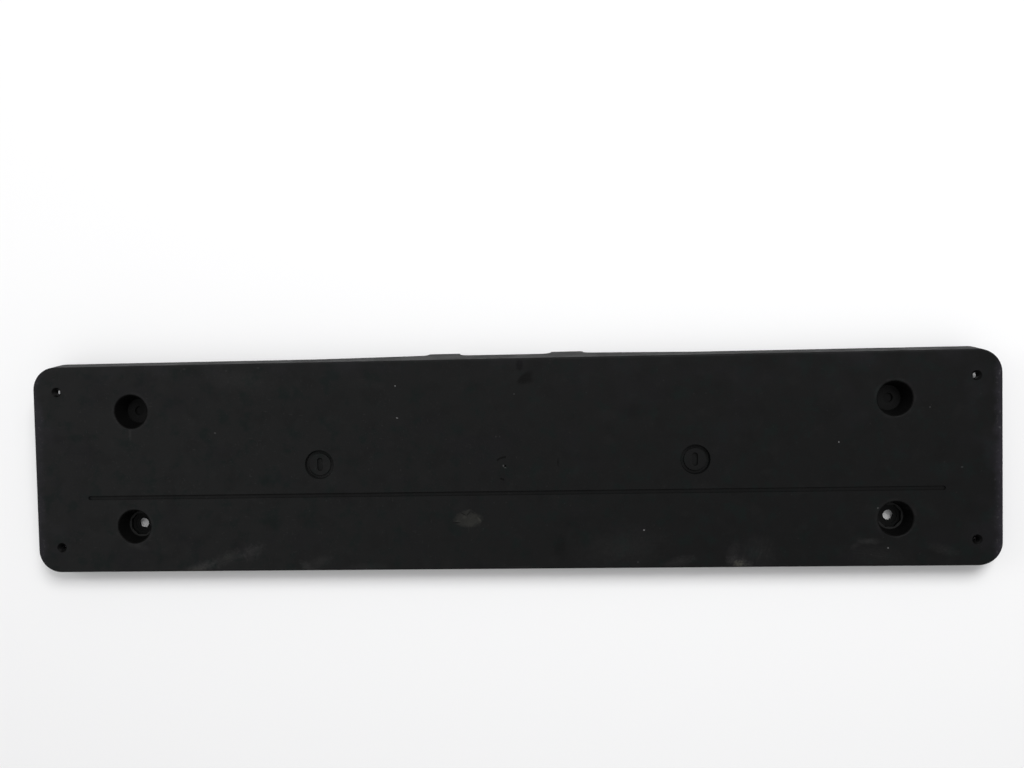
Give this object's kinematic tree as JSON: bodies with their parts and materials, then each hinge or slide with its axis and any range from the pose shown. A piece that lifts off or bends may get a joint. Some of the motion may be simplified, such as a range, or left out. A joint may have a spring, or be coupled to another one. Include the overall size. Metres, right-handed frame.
{
  "type": "number plate holder",
  "caption": "Flat oblong number plate holder with rounded corners, recessed bolt cups, corner screw holes and rear tongues, for fixing a plate to a bumper.",
  "frame": {"origin": "middle of the front of the face, level with the middle of the four plate screw holes", "axes": "+X along the length, to the right seen from the front; +Y up the plate, towards the tongues; +Z out of the face"},
  "size_m": [0.5534, 0.1251, 0.026],
  "materials": {
    "black_plastic": "fine grained matte, moulded black"
  },
  "bodies": {
    "root": {"plate_holder": "black_plastic"}
  },
  "joints": []
}
